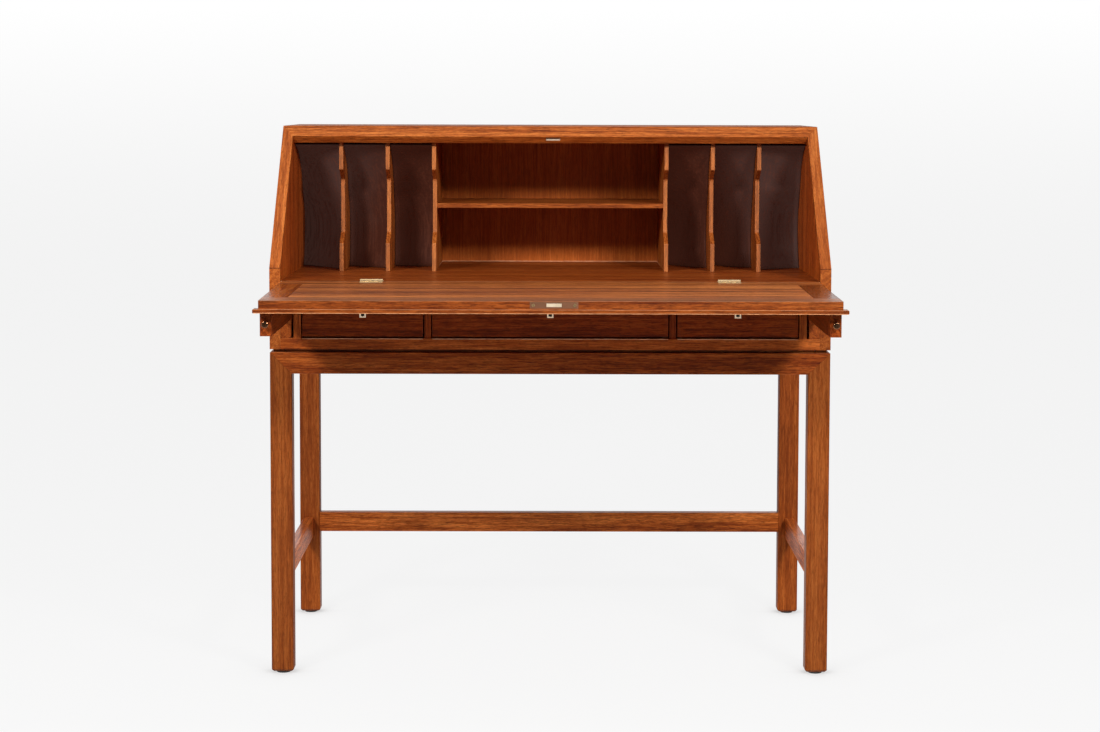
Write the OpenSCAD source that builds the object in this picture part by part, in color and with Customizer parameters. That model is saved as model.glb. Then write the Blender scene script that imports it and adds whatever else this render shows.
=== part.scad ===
// Fall-front secretary in solid and veneered teak, drawn with its writing flap open on two lopers.
// Every size is in millimetres. Plus Z is up, the front faces minus Y, and the floor is at Z = 0.
// The origin lies on the floor, at the middle of the box that the open desk fills.

/* [Overall] */
// Width over the case and over the legs
case_w = 1060; // [980:5:1140]
// Depth of the case, front edge to back
case_d = 534; // [510:1:570]
// Height of the base frame above the floor
base_h = 616; // [560:1:660]
// Height of the bay that holds the drawers and lopers
bay_h = 81; // [78:0.5:110]
// Height above the deck at which the case's front edge starts to slant back
knee_rise = 24.5; // [20:0.5:28]
// Height of the slant, up to the top of the case
slant_rise = 265.5; // [250:0.5:285]
// How far the top of the slant lies behind the case's front edge
slant_run = 241; // [230:1:252]

/* [Base frame] */
// Width of a leg, seen from the front
leg_w = 42; // [34:1:50]
// Depth of a leg, seen from the side
leg_d = 34; // [28:1:42]
// Height of the rails that join the tops of the legs
rail_h = 40.5; // [32:0.5:50]
// Thickness of the two side rails
side_rail_t = 28; // [20:1:34]
// Height of the back stretcher
stretcher_h = 41; // [30:1:55]
// Height of the back stretcher's lower edge above the floor
stretcher_z = 176; // [120:1:240]
// Height of the side stretchers
side_stretcher_h = 41; // [30:1:55]
// Height of the side stretchers' lower edge above the floor
side_stretcher_z = 165; // [120:1:240]
// Thickness of all three stretchers
stretcher_t = 20; // [16:1:24]
// How far the side stretchers stand in from the legs' outer faces
stretcher_inset = 8; // [4:0.5:10]
// Small chamfer along the legs' long edges
leg_chamfer = 1.5; // [0.5:0.5:4]
// Chamfer round the foot of each leg
foot_chamfer = 4; // [2:0.5:7]
// Radius of the glide under each foot
glide_r = 13; // [8:1:14]
// Height of the glide under each foot
glide_h = 3.5; // [2:0.5:6]

/* [Case] */
// Height of the shadow gap between base frame and case
spacer_h = 6; // [3:1:10]
// How far the spacers stand in from the sides of the case
spacer_inset = 6.5; // [3:0.5:15]
// Width of the spacer strips
spacer_w = 22; // [12:1:26]
// Thickness of the case's sides and top board
board_t = 20.5; // [16:0.5:24]
// Thickness of the writing deck
deck_t = 27; // [22:1:28]
// Thickness of the board under the drawers
bottom_t = 21; // [16:1:25]
// Thickness of the back panel
back_t = 7; // [4:1:12]
// Glue gap in front of the back panel
back_gap = 0.05; // [0.02:0.01:0.3]
// Depth of the grooves and rebates that hold deck, bottom and back in the sides
housing = 8; // [4:1:12]
// How far behind the front edge these stopped grooves start
housing_stop = 16; // [8:1:30]

/* [Drawer and loper bay] */
// Width of the slot that a loper slides in
slot_w = 24.7; // [22.5:0.1:32]
// Thickness of the upright between a loper slot and a side drawer
post_t = 14; // [10:0.5:20]
// Thickness of the uprights between the drawers
partition_t = 12.5; // [8:0.5:20]
// Distance of those uprights' middle from the middle of the case
partition_x = 231.5; // [200:0.5:260]
// How far the uprights between the drawers stand back
partition_recess = 2; // [0:0.5:5]
// Width of the bearer that carries a loper
bearer_w = 20.5; // [14:0.5:21.5]
// Thickness of a loper
loper_t = 20; // [16:0.5:21]
// Height of the bearer under a loper
bearer_h = 37.3; // [30:0.1:45]
// How far the lopers' ends stay behind the fall front's free edge
loper_short = 27.5; // [22:1:60]
// Length of a loper that stays in the case when it is drawn out
loper_hold = 152; // [110:1:160]
// Running clearance under and over a loper
loper_clear = 0.3; // [0.1:0.1:1]
// Radius of a loper's brass knob
knob_r = 6.2; // [4:0.1:9]
// How far the knob stands out
knob_out = 12; // [8:0.5:18]
// Radius of the knob's shank
knob_shank_r = 2.5; // [1.5:0.1:3]
// Length of the knob's shank
knob_shank_len = 14; // [8:1:25]

/* [Drawers] */
// Gap around a drawer front at its sides
drawer_gap = 2.5; // [1.5:0.1:4]
// Gap under a drawer front
drawer_low_gap = 3.5; // [1:0.1:5]
// Gap over a drawer front
drawer_top_gap = 2; // [1.5:0.1:5]
// Thickness of a drawer front
front_t = 19; // [16:0.5:22]
// Thickness of a drawer's sides and back
drawer_side_t = 10; // [7:0.5:13]
// How far a drawer's sides stay below the top of its front
drawer_side_drop = 12; // [4:1:20]
// Thickness of a drawer's bottom
drawer_bottom_t = 5; // [3:0.5:7]
// Height of a drawer's bottom above the lower edge of its sides
drawer_bottom_lift = 8; // [6:0.5:12]
// Depth of the groove for a drawer's bottom
drawer_groove = 5; // [3:0.5:6]
// Clearance between a drawer and the board that it runs on
drawer_run = 0.3; // [0.1:0.1:1]
// Number of dovetails at each front corner of a drawer
tail_count = 3; // [2:1:4]
// Length of a dovetail
tail_len = 13; // [9:0.5:15]
// How much a dovetail widens towards its end, on each side
tail_flare = 1.6; // [0.8:0.1:2]
// Width over the square brass bush of a drawer's keyhole
bush_w = 12; // [9:0.5:15]
// Width of the square recess around a keyhole
bush_recess_w = 6.8; // [4:0.2:8]
// Depth of the square recess around a keyhole
bush_recess_d = 1.5; // [0.6:0.1:3]
// Height of a keyhole above the lower edge of the bay
keyhole_rise = 45.4; // [36:0.2:50]
// Width of a drawer's lock
lock_w = 46; // [36:1:60]
// Height of a drawer's lock
lock_h = 32; // [26:1:40]
// Depth of a drawer's lock
lock_d = 12; // [10:0.5:14]
// How far the locks stand proud of the wood
lock_proud = 0.5; // [0.2:0.1:1.5]
// Radius of the round part of a keyhole
key_r = 2.1; // [1.2:0.1:2.6]
// Width of the narrow part of a keyhole
key_slot_w = 1.6; // [1:0.1:2]
// Length of the narrow part of a keyhole
key_slot_h = 4.2; // [3:0.1:4.5]

/* [Pigeonholes] */
// Distance of the innermost dividers from the middle of the case
divider_x = 232; // [210:0.5:260]
// Distance from one divider to the next
divider_pitch = 92.5; // [80:0.5:98]
// Thickness of a divider
divider_t = 8; // [5:0.5:10]
// Depth of the dividers' front edges behind the case's front edge
divider_y = 256; // [254:0.5:270]
// Depth of the finger notch in a divider's front edge
notch_d = 38; // [15:1:50]
// Height above the deck at which the notch starts
notch_low = 55; // [40:1:70]
// Height above the deck at which the notch has its full depth
notch_full = 77; // [72:1:90]
// Height above the deck at which its full depth ends
notch_top = 182; // [160:1:190]
// Height above the deck at which the notch ends
notch_end = 203; // [195:1:220]
// Radius of the notch's inner corners
notch_r = 9; // [4:0.5:10]
// Radius of the notch's outer corners
notch_lip_r = 3; // [1:0.5:5]
// Height of the shelf's top above the deck
shelf_z = 134; // [100:1:150]
// Thickness of the shelf
shelf_t = 9; // [6:0.5:14]
// How far the shelf's front edge lies behind the dividers' front edges
shelf_back = 39; // [34:1:60]
// Depth of the grooves that hold the shelf
shelf_groove = 3; // [1.5:0.5:4]
// Thickness of the dark sheets at the back of the pigeonholes
sheet_t = 2; // [1:0.5:3]
// Height of the sheets' top edges above the deck
sheet_h = 252; // [235:1:254]
// Depth of the sheets' top edges behind the dividers' front edges
sheet_top_back = 7; // [3:0.5:20]
// Width of the fold along each sheet's outer edge
sheet_fold_w = 9; // [5:0.5:15]
// How far that fold is bent forward
sheet_fold_d = 8; // [0:0.5:14]

/* [Fall front] */
// Thickness of the fall front
flap_t = 22.5; // [20:0.5:25]
// Thickness of the lip along its free edge
lip_t = 7.5; // [6:0.5:9]
// How far that lip stands out in front of the free edge
lip_out = 2; // [0:0.5:3]
// Gap at each side of the fall front, inside the case
flap_gap = 3; // [2:0.1:5]
// How far the lip's ears reach over the front edges of the case's sides
ear_over = 7.2; // [4:0.1:14]
// Depth of an ear, front to back
ear_d = 18; // [10:1:30]
// Gap between the fall front and the front edges when it is shut
seat_gap = 0.3; // [0.2:0.1:1]
// Gap between its free edge and the top board when it is shut
close_gap = 1.5; // [1:0.1:3]
// How far the open fall front droops below level, in degrees
flap_droop = 0.88; // [0:0.02:1]
// Gap between the fall front and the deck at the hinge
hinge_gap = 1; // [0.6:0.1:2]
// Width of the rail along its hinged edge
back_rail_w = 56; // [40:1:70]
// Width of the rail along its free edge
front_rail_w = 52; // [45:1:70]
// Width of the cross strips at its two ends
end_w = 45; // [30:1:60]

/* [Fall front hinges] */
// Distance of a hinge's middle from the middle of the case
hinge_x = 337.5; // [300:0.5:400]
// Length of a hinge along its pin
hinge_len = 43; // [35:0.5:60]
// Width of a hinge leaf beyond the knuckle
leaf_w = 20; // [14:0.5:28]
// Thickness of a hinge leaf
leaf_t = 1.8; // [1.2:0.1:2.2]
// Radius of the hinge knuckle
knuckle_r = 3; // [2.6:0.1:3.5]
// Number of knuckles in a hinge
knuckle_count = 5; // [3:2:7]
// Gap between neighbouring knuckles
knuckle_gap = 0.2; // [0.1:0.05:0.5]
// Radius of the hinge pin
pin_r = 1.25; // [0.9:0.05:1.5]
// Running clearance between pin and knuckle
pin_clear = 0.05; // [0.02:0.01:0.1]
// Height of the pin's axis above the deck
pin_lift = 1.5; // [1:0.1:2]

/* [Fall front lock] */
// Distance of the lock from the middle of the case
lock_x = 5.5; // [-20:0.5:20]
// Length of the lock's face plate
plate_len = 84; // [70:1:110]
// Height of the lock's face plate
plate_h = 12; // [10:0.5:12.5]
// Thickness of the lock's face plate
plate_t = 2; // [1:0.5:3]
// Depth of the face plate's upper edge below the writing surface
plate_drop = 1.3; // [0.8:0.1:2]
// Length of the lock's case
lock_case_len = 56; // [44:1:64]
// Depth of the lock's case behind the plate
lock_case_d = 30; // [20:1:36]
// Length of the bolt
bolt_len = 26.5; // [18:0.5:30]
// Thickness of the bolt
bolt_t = 6; // [4:0.1:6.5]
// Sliding clearance round the bolt
bolt_clear = 0.1; // [0.05:0.05:0.3]
// Depth of the bolt inside the lock
bolt_d = 18; // [12:1:22]
// Clearance round the bolt in the stop rail
strike_clear = 0.7; // [0.5:0.1:1.6]
// Depth of the bolt's socket in the stop rail
strike_d = 9; // [8.5:0.5:11]
// Thickness of the brass strike in that socket
strike_t = 1.5; // [1:0.1:2.5]
// Step between the top board's slanted edge and the stop rail's face
stop_step = 0.6; // [0.2:0.1:1.5]
// Depth of the stop rail's bevelled face
stop_face = 20; // [18:0.5:22]
// Width of the stop rail under the top board
stop_w = 27; // [24:0.5:29]

/* [Hidden] */

$fn = 48;
teak = [0.62, 0.33, 0.16];
teak_dark = [0.45, 0.22, 0.10];
brass = [0.85, 0.68, 0.36];
steel = [0.35, 0.33, 0.30];
dark_sheet = [0.12, 0.09, 0.09];
glide_black = [0.1, 0.1, 0.1];
plywood = [0.70, 0.52, 0.33];

// Levels and half widths of the case
half_w = case_w / 2;
inner_w = half_w - board_t;
case_z = base_h + spacer_h;
bay_z = case_z + bottom_t;
bay_top = bay_z + bay_h;
deck_z = bay_top + deck_t;
knee_z = deck_z + knee_rise;
total_h = knee_z + slant_rise;
roof_z = total_h - board_t;
keyhole_z = bay_z + keyhole_rise;
back_y = case_d - back_t;
inside_y = back_y - back_gap;
// Uprights of the bay, measured out from the middle
post_x = inner_w - slot_w - post_t;
partition_out = partition_x + partition_t / 2;
partition_in = partition_x - partition_t / 2;
loper_x = inner_w - slot_w / 2;
// The slant of the front edges, as an angle from upright
slant = atan2(slant_run, slant_rise);
slant_len = norm([slant_run, slant_rise]);
// Distance from the slanted edges in to the shut fall front's inner face
flap_in = flap_t - lip_t;
seat_in = flap_in - seat_gap;
// The hinge axis, found so that the shut fall front lies parallel to the slant
axis_z = deck_z + pin_lift;
axis_y = (seat_in + pin_lift - sin(slant) * (knee_z - axis_z)) / cos(slant);
// Places along the slant, measured from the knee
roof_s = slant_len - board_t / cos(slant);
stop_s = roof_s + stop_step;
axis_s = axis_y * sin(slant) + (axis_z - knee_z) * cos(slant);
flap_len = roof_s - close_gap - axis_s;
flap_half = inner_w - flap_gap;
flap_back = hinge_gap / 2;
ear_half = inner_w + ear_over;
deck_front = axis_y + hinge_gap / 2;
// Lowest point of the fall front's underside at a distance in front of the case
function flap_under(out) =
    axis_z - (pin_lift + flap_t) / cos(flap_droop) - (out + axis_y) * tan(flap_droop);
loper_out = flap_len - loper_short;
loper_len = loper_out + loper_hold;
loper_z = bay_z + bearer_h + loper_clear;
loper_top = flap_under(loper_out) - loper_clear;
knob_z = (loper_z + loper_top) / 2;
// The middle of the bolt, below the fall front's inner face
bolt_drop = plate_drop + plate_h / 2;
// The box that the open desk fills sets the origin
flap_tip = axis_y - (flap_len + lip_out) * cos(flap_droop) + (pin_lift + flap_in) * sin(flap_droop);
origin_y = (flap_tip + case_d) / 2;
// Drawers
drawer_z = bay_z + drawer_run;
front_z = bay_z + drawer_low_gap;
front_top = bay_top - drawer_top_gap;
drawer_side_top = front_top - drawer_side_drop;
drawer_back_y = back_y - drawer_run;
side_drawer_in = partition_out + drawer_gap;
side_drawer_out = post_x - drawer_gap;
centre_drawer_out = partition_in - drawer_gap;
bottom_low = drawer_z + drawer_bottom_lift;
// The far side of a cut that must leave no skin
over = 1;
arc_steps = 6;
// Each dark sheet at the deck: depth at its left, depth at its right and bow, then the height
// at which it starts to curl forward and how far it bulges back below that
sheet_shapes = [[421, 306, -3, 100, 27], [405, 320, -4, 60, 10], [407, 372, -4, 60, 10],
                [453, 358, 6, 20, 25], [456, 376, 20, 20, 10], [310, 358, -4, 100, 27]];
sheet_walls = [-inner_w, -divider_x - 2 * divider_pitch, -divider_x - divider_pitch, -divider_x,
               divider_x, divider_x + divider_pitch, divider_x + 2 * divider_pitch, inner_w];
bulge_h = 160;
sheet_low_rows = 4;
sheet_curl_rows = 9;
sheet_columns = 7;

// A point at distance r along the line from one point towards another
function toward(from, to, r) = from + r * (to - from) / norm(to - from);

// The arc that rounds one corner of an outline, from its two neighbours
function corner(before, at, after, r) =
    let (a = (before - at) / norm(before - at),
         b = (after - at) / norm(after - at),
         half = acos(a * b) / 2,
         mid = (a + b) / norm(a + b),
         centre = at + mid * r / sin(half),
         from = toward(at, before, r / tan(half)) - centre,
         to = toward(at, after, r / tan(half)) - centre,
         start = atan2(from[1], from[0]),
         turn = atan2(from[0] * to[1] - from[1] * to[0], from * to))
    [for (i = [0 : arc_steps]) centre + r * [cos(start + turn * i / arc_steps),
                                             sin(start + turn * i / arc_steps)]];

// An outline with each corner rounded by its own radius, or left sharp at zero
function rounded(points, radii) =
    let (n = len(points))
    [for (i = [0 : n - 1])
        each radii[i] == 0 ? [points[i]]
            : corner(points[(i + n - 1) % n], points[i], points[(i + 1) % n], radii[i])];

// Moves what is drawn from the case's front edge to the origin of the model
module placed() {
    translate([0, -origin_y, 0]) children();
}

// The frame of the fall front: the hinge axis is X and the open flap lies along minus Y
module on_flap() {
    placed() translate([0, axis_y, axis_z]) rotate([flap_droop, 0, 0]) children();
}

// A frame on the slant: X is across, Y runs up the slant from the knee and Z stands out of it
module on_slant() {
    translate([0, 0, knee_z]) rotate([90 - slant, 0, 0]) children();
}

// Extrudes a Y and Z outline along X
module along_x(from, to) {
    translate([from, 0, 0]) rotate([90, 0, 90]) linear_extrude(to - from) children();
}

// Extrudes an X and Z outline along Y
module along_y(from, to) {
    translate([0, to, 0]) rotate([90, 0, 0]) linear_extrude(to - from) children();
}

// A box between two corners
module block(low, high) {
    translate(low) cube(high - low);
}

// A copy on each side of the middle
module both_sides() {
    for (side = [-1, 1]) scale_x(side) children();
}

// Mirrors to the left for minus one and leaves plus one as it is
module scale_x(side) {
    mirror([side < 0 ? 1 : 0, 0, 0]) children();
}

// One leg at the front right, its head cut to the mitre of the frame above
module leg_shape() {
    c = leg_chamfer;
    f = foot_chamfer;
    x0 = half_w - leg_w;
    intersection() {
        translate([0, 0, glide_h]) linear_extrude(base_h) polygon([
            [x0 + c, 0], [half_w - c, 0], [half_w, c], [half_w, leg_d - c],
            [half_w - c, leg_d], [x0 + c, leg_d], [x0, leg_d - c], [x0, c]]);
        along_y(-over, leg_d + over) polygon([
            [x0 + f, glide_h], [half_w - f, glide_h], [half_w, glide_h + f], [half_w, base_h],
            [x0, base_h - rail_h], [x0, glide_h + f]]);
        along_x(x0 - over, half_w + over) polygon([
            [f, glide_h], [leg_d - f, glide_h], [leg_d, glide_h + f], [leg_d, base_h],
            [0, base_h], [0, glide_h + f]]);
    }
}

module leg(side, at_back) {
    color(teak) placed() scale_x(side)
        if (at_back) translate([0, case_d, 0]) mirror([0, 1, 0]) leg_shape();
        else leg_shape();
}

module leg_front_left() leg(-1, false);
module leg_front_right() leg(1, false);
module leg_back_left() leg(-1, true);
module leg_back_right() leg(1, true);

// A rail across the front or back, mitred into the heads of the legs
module cross_rail(from, to) {
    color(teak) placed() along_y(from, to) polygon([
        [-half_w, base_h], [half_w, base_h],
        [half_w - leg_w, base_h - rail_h], [leg_w - half_w, base_h - rail_h]]);
}

module base_rail_front() cross_rail(0, leg_d);
module base_rail_back() cross_rail(case_d - leg_d, case_d);

// A rail from front leg to back leg, flush with their outer faces
module side_rail(side) {
    color(teak) placed() scale_x(side)
        block([half_w - side_rail_t, leg_d, base_h - rail_h], [half_w, case_d - leg_d, base_h]);
}

module base_rail_left() side_rail(-1);
module base_rail_right() side_rail(1);

// A low stretcher from front leg to back leg
module side_stretcher(side) {
    outer = half_w - stretcher_inset;
    color(teak) placed() scale_x(side)
        block([outer - stretcher_t, leg_d, side_stretcher_z],
              [outer, case_d - leg_d, side_stretcher_z + side_stretcher_h]);
}

module stretcher_left() side_stretcher(-1);
module stretcher_right() side_stretcher(1);

// The stretcher between the back legs, flush with their front faces
module stretcher_back() {
    front = case_d - leg_d;
    color(teak) placed()
        block([leg_w - half_w, front, stretcher_z],
              [half_w - leg_w, front + stretcher_t, stretcher_z + stretcher_h]);
}

// Round glides, one under each leg
module foot_glides() {
    color(glide_black) placed() both_sides() for (y = [leg_d / 2, case_d - leg_d / 2])
        translate([half_w - leg_w / 2, y, 0]) cylinder(r = glide_r, h = glide_h);
}

// Strips that lift the case off the base frame and leave the shadow gap
module case_spacers() {
    front = spacer_inset;
    color(teak_dark) placed() {
        both_sides() block([half_w - spacer_inset - spacer_w, front, base_h],
                           [half_w - spacer_inset, case_d - spacer_inset, case_z]);
        for (y = [front, case_d - spacer_inset - spacer_w])
            block([spacer_inset + spacer_w + over - half_w, y, base_h],
                  [half_w - spacer_inset - spacer_w - over, y + spacer_w, case_z]);
    }
}

// The outline of the case seen from the side
module case_outline() {
    polygon([[0, case_z], [0, knee_z], [slant_run, total_h], [case_d, total_h],
             [case_d, case_z]]);
}

// The space of a board between the sides, with its tongues in their stopped grooves
module housed_board(front, low, high) {
    block([-inner_w, front, low], [inner_w, inside_y, high]);
    block([-inner_w - housing, housing_stop, low], [inner_w + housing, inside_y, high]);
}

// The space of the back panel, in the rebates of the sides and top
module back_space() {
    block([-inner_w - housing, back_y, case_z], [inner_w + housing, case_d, roof_z + housing]);
}

// A side of the case, mitred to the top board
module case_side(side) {
    color(teak) placed() difference() {
        intersection() {
            along_x(-half_w, half_w) case_outline();
            scale_x(side) along_y(-over, case_d + over) polygon([
                [half_w, case_z], [half_w, total_h], [inner_w, roof_z], [inner_w, case_z]]);
        }
        housed_board(deck_front, bay_top, deck_z);
        housed_board(0, case_z, bay_z);
        back_space();
    }
}

module side_left() case_side(-1);
module side_right() case_side(1);

// The top board, its front edge cut to the slant
module top_board() {
    color(teak) placed() difference() {
        intersection() {
            along_x(-half_w, half_w) case_outline();
            along_y(-over, case_d + over) polygon([
                [-half_w, total_h], [half_w, total_h], [inner_w, roof_z], [-inner_w, roof_z]]);
        }
        back_space();
        bolt_socket();
    }
}

// The deck, with pockets for the hinges' leaves and a hollow for their knuckles
module deck() {
    color(teak) placed() difference() {
        housed_board(deck_front, bay_top, deck_z);
        both_sides() translate([hinge_x - hinge_len / 2, axis_y, deck_z - leaf_t])
            cube([hinge_len, knuckle_r + leaf_w, leaf_t + over]);
        both_sides() knuckle_hollow(axis_z);
    }
}

// The round hollow that a hinge's knuckles lie in
module knuckle_hollow(height) {
    translate([hinge_x - hinge_len / 2, axis_y, height]) rotate([0, 90, 0])
        cylinder(r = knuckle_r + 0.3, h = hinge_len);
}

module case_bottom() {
    color(teak) placed() housed_board(0, case_z, bay_z);
}

module back_panel() {
    color(teak) placed() back_space();
}

// The batten under the top board that the shut fall front butts against
module stop_outline() {
    face = [cos(slant), -sin(slant)];
    start = [sin(slant) * stop_s, cos(slant) * stop_s + knee_z];
    low = start + stop_face * face;
    top_y = start[0] + (start[1] - roof_z) * face[0] / -face[1];
    polygon([[top_y, roof_z], low, [start[0] + stop_w, low[1]], [start[0] + stop_w, roof_z]]);
}

// The socket that the bolt enters, open to the bevelled face
module strike_socket(deeper, low, high) {
    on_slant() translate([lock_x, 0, 0])
        block([-bolt_len / 2 - strike_clear, stop_s - 2 * over, -seat_in + low],
              [bolt_len / 2 + strike_clear, stop_s + deeper, -seat_in + high]);
}

// The whole socket, which also takes a little of the top board
module bolt_socket() {
    strike_socket(strike_d, bolt_drop - bolt_t / 2 - strike_clear - strike_t,
                  bolt_drop + bolt_t / 2 + strike_clear);
}

module stop_rail() {
    color(teak) placed() difference() {
        along_x(-inner_w, inner_w) stop_outline();
        bolt_socket();
    }
}

// A brass strip on the inner wall of the bolt's socket
module strike_plate() {
    color(brass) placed() intersection() {
        strike_socket(strike_d, bolt_drop - bolt_t / 2 - strike_clear - strike_t,
                      bolt_drop - bolt_t / 2 - strike_clear);
        along_x(-inner_w, inner_w) stop_outline();
    }
}

// An upright between a loper and a side drawer
module loper_post(side) {
    color(teak) placed() scale_x(side)
        block([post_x, 0, bay_z], [post_x + post_t, inside_y, bay_top]);
}

module loper_post_left() loper_post(-1);
module loper_post_right() loper_post(1);

// An upright between two drawers
module drawer_partition(side) {
    color(teak) placed() scale_x(side)
        block([partition_in, partition_recess, bay_z], [partition_out, inside_y, bay_top]);
}

module drawer_partition_left() drawer_partition(-1);
module drawer_partition_right() drawer_partition(1);

// The fixed bearer that a loper slides on
module loper_bearer(side) {
    color(teak) placed() scale_x(side)
        block([inner_w - bearer_w, 0, bay_z], [inner_w, inside_y, bay_z + bearer_h]);
}

module loper_bearer_left() loper_bearer(-1);
module loper_bearer_right() loper_bearer(1);

// A divider's outline seen from the side, with the finger notch in its front edge
module divider_outline() {
    deep = divider_y + notch_d;
    polygon(rounded(
        [[divider_y, deck_z], [divider_y, deck_z + notch_low], [deep, deck_z + notch_full],
         [deep, deck_z + notch_top], [divider_y, deck_z + notch_end], [divider_y, roof_z],
         [inside_y, roof_z], [inside_y, deck_z]],
        [0, notch_lip_r, notch_r, notch_r, notch_lip_r, 0, 0, 0]));
}

module divider_pair(x) {
    both_sides() along_x(x - divider_t / 2, x + divider_t / 2) divider_outline();
}

// The shelf's space, with its ends in the grooves of the inner dividers
module shelf_space() {
    half = divider_x - divider_t / 2 + shelf_groove;
    block([-half, divider_y + shelf_back, deck_z + shelf_z - shelf_t],
          [half, inside_y, deck_z + shelf_z]);
}

module inner_dividers() {
    color(teak) placed() difference() {
        divider_pair(divider_x);
        shelf_space();
    }
}

module middle_dividers() {
    color(teak) placed() divider_pair(divider_x + divider_pitch);
}

module outer_dividers() {
    color(teak) placed() divider_pair(divider_x + 2 * divider_pitch);
}

module shelf() {
    color(teak) placed() shelf_space();
}

// The angle through which a sheet has curled at one of its rows, and in all
function sheet_turn(shape) = 60 + shape[3] / 4;
function sheet_curl(shape, row) =
    sheet_turn(shape) * max(row - sheet_low_rows, 0) / sheet_curl_rows;

// The height of a row above the deck
function sheet_rise(shape, row) =
    row <= sheet_low_rows ? shape[3] * row / sheet_low_rows
        : shape[3] + (sheet_h - shape[3]) * sin(sheet_curl(shape, row)) / sin(sheet_turn(shape));

// The depth of a sheet's front at a share of its width and at one of its rows
function sheet_depth(shape, share, row) =
    let (foot = shape[0] + (shape[1] - shape[0]) * share - 4 * shape[2] * share * (1 - share),
         rise = sheet_rise(shape, row),
         full = foot + shape[4] * sin(180 * min(rise / bulge_h, 1)),
         curled = (1 - cos(sheet_curl(shape, row))) / (1 - cos(sheet_turn(shape))))
    full - (full - divider_y - sheet_top_back) * curled;

// Front and back points of a sheet at one of its rows, with the fold along its outer edge
function sheet_points(shape, left, right, fold_left, row) =
    let (wide = right - left, last = sheet_low_rows + sheet_curl_rows)
    [for (column = [0 : sheet_columns])
        let (inward = fold_left ? column : sheet_columns - column,
             from_fold = inward == 0 ? 0
                 : sheet_fold_w + (wide - sheet_fold_w) * (inward - 1) / (sheet_columns - 1),
             share = (fold_left ? from_fold : wide - from_fold) / wide,
             bend = inward == 0 ? sheet_fold_d * (1 - sheet_curl(shape, row) / sheet_turn(shape)) : 0,
             ahead = min(row + 1, last),
             behind = max(row - 1, 0),
             run = sheet_depth(shape, share, ahead) - sheet_depth(shape, share, behind),
             climb = sheet_rise(shape, ahead) - sheet_rise(shape, behind),
             out = row == 0 ? [1, 0] : [climb, -run] / norm([climb, run]),
             slope = (shape[1] - shape[0]) / wide,
             front = [left + wide * share, sheet_depth(shape, share, row) - bend,
                      sheet_rise(shape, row)])
        [front, front + sheet_t * norm([1, slope * out[0]]) * [0, out[0], out[1]]]];

// A thin sheet that stands between two walls, curls forward above and is folded at one edge
module curled_sheet(shape, left, right, fold_left) {
    rows = sheet_low_rows + sheet_curl_rows;
    wide = sheet_columns + 1;
    side = wide * (rows + 1);
    lines = [for (row = [0 : rows]) sheet_points(shape, left, right, fold_left, row)];
    points = [for (face = [0, 1]) for (line = lines) for (pair = line) pair[face]];
    skins = [for (row = [0 : rows - 1]) for (column = [0 : sheet_columns - 1])
        let (a = row * wide + column, b = a + 1, c = a + wide + 1, d = a + wide)
        each [[a, d, c], [a, c, b], [side + a, side + c, side + d], [side + a, side + b, side + c]]];
    ends = [for (row = [0 : rows - 1])
        let (a = row * wide, d = a + wide, b = a + sheet_columns, c = b + wide)
        each [[a, side + a, side + d], [a, side + d, d], [b, c, side + c], [b, side + c, side + b]]];
    rims = [for (column = [0 : sheet_columns - 1])
        let (a = column, b = a + 1, d = rows * wide + column, c = d + 1)
        each [[a, b, side + b], [a, side + b, side + a], [d, side + d, side + c], [d, side + c, c]]];
    polyhedron(points, concat(skins, ends, rims));
}

// Dark sheets that stand across the pigeonholes, a little askew
module letter_sheets() {
    wall = divider_t / 2;
    color(dark_sheet) placed() translate([0, 0, deck_z])
        for (i = [0 : 5]) {
            slot = i < 3 ? i : i + 1;
            left = sheet_walls[slot] + (slot == 0 ? 0 : wall);
            right = sheet_walls[slot + 1] - (slot == 6 ? 0 : wall);
            curled_sheet(sheet_shapes[i], left, right, i < 3);
        }
}

// A board of the fall front, at full thickness
module flap_board(x0, x1, y0, y1) {
    block([x0, -y1, -pin_lift - flap_t], [x1, -y0, -pin_lift]);
}

module flap_panel() {
    color(teak) on_flap()
        flap_board(end_w - flap_half, flap_half - end_w, back_rail_w, flap_len - front_rail_w);
}

// Cross strips at the ends, between the two rails
module flap_ends() {
    color(teak) on_flap() both_sides()
        flap_board(flap_half - end_w, flap_half, back_rail_w, flap_len - front_rail_w);
}

// The hinged rail, with pockets for the leaves
module flap_back_rail() {
    color(teak) on_flap() difference() {
        flap_board(-flap_half, flap_half, flap_back, back_rail_w);
        both_sides() translate([hinge_x - hinge_len / 2, -knuckle_r - leaf_w, -pin_lift - leaf_t])
            cube([hinge_len, knuckle_r + leaf_w, leaf_t + over]);
        translate([0, -axis_y, 0]) both_sides() knuckle_hollow(0);
    }
}

// The lip and its ears, which lie over the case's front edges when the flap is shut
module lip() {
    r = lip_t / 2;
    tip = -flap_len - lip_out;
    low = -pin_lift - flap_t;
    along_y(tip, tip + ear_d) polygon(rounded(
        [[-ear_half, low], [ear_half, low], [ear_half, low + lip_t], [-ear_half, low + lip_t]],
        [r * 0.6, r * 0.6, r * 0.6, r * 0.6]));
}

// The space that the lock fills in the front rail
module lock_space() {
    top = -pin_lift - plate_drop;
    block([-plate_len / 2, -flap_len, top - plate_h], [plate_len / 2, plate_t - flap_len, top]);
    block([-lock_case_len / 2, plate_t - flap_len - over, top - plate_h + 1],
          [lock_case_len / 2, plate_t - flap_len + lock_case_d, top - 1]);
}

// A keyhole, standing along Z with its narrow part towards minus Y
module keyhole(height) {
    cylinder(r = key_r, h = height);
    translate([-key_slot_w / 2, -key_slot_h, 0]) cube([key_slot_w, key_slot_h, height]);
}

// The square recess around a keyhole, along Z from just outside the face
module bush_recess() {
    half = bush_recess_w / 2;
    block([-half, -half, 0], [half, half, over + bush_recess_d]);
}

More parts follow.
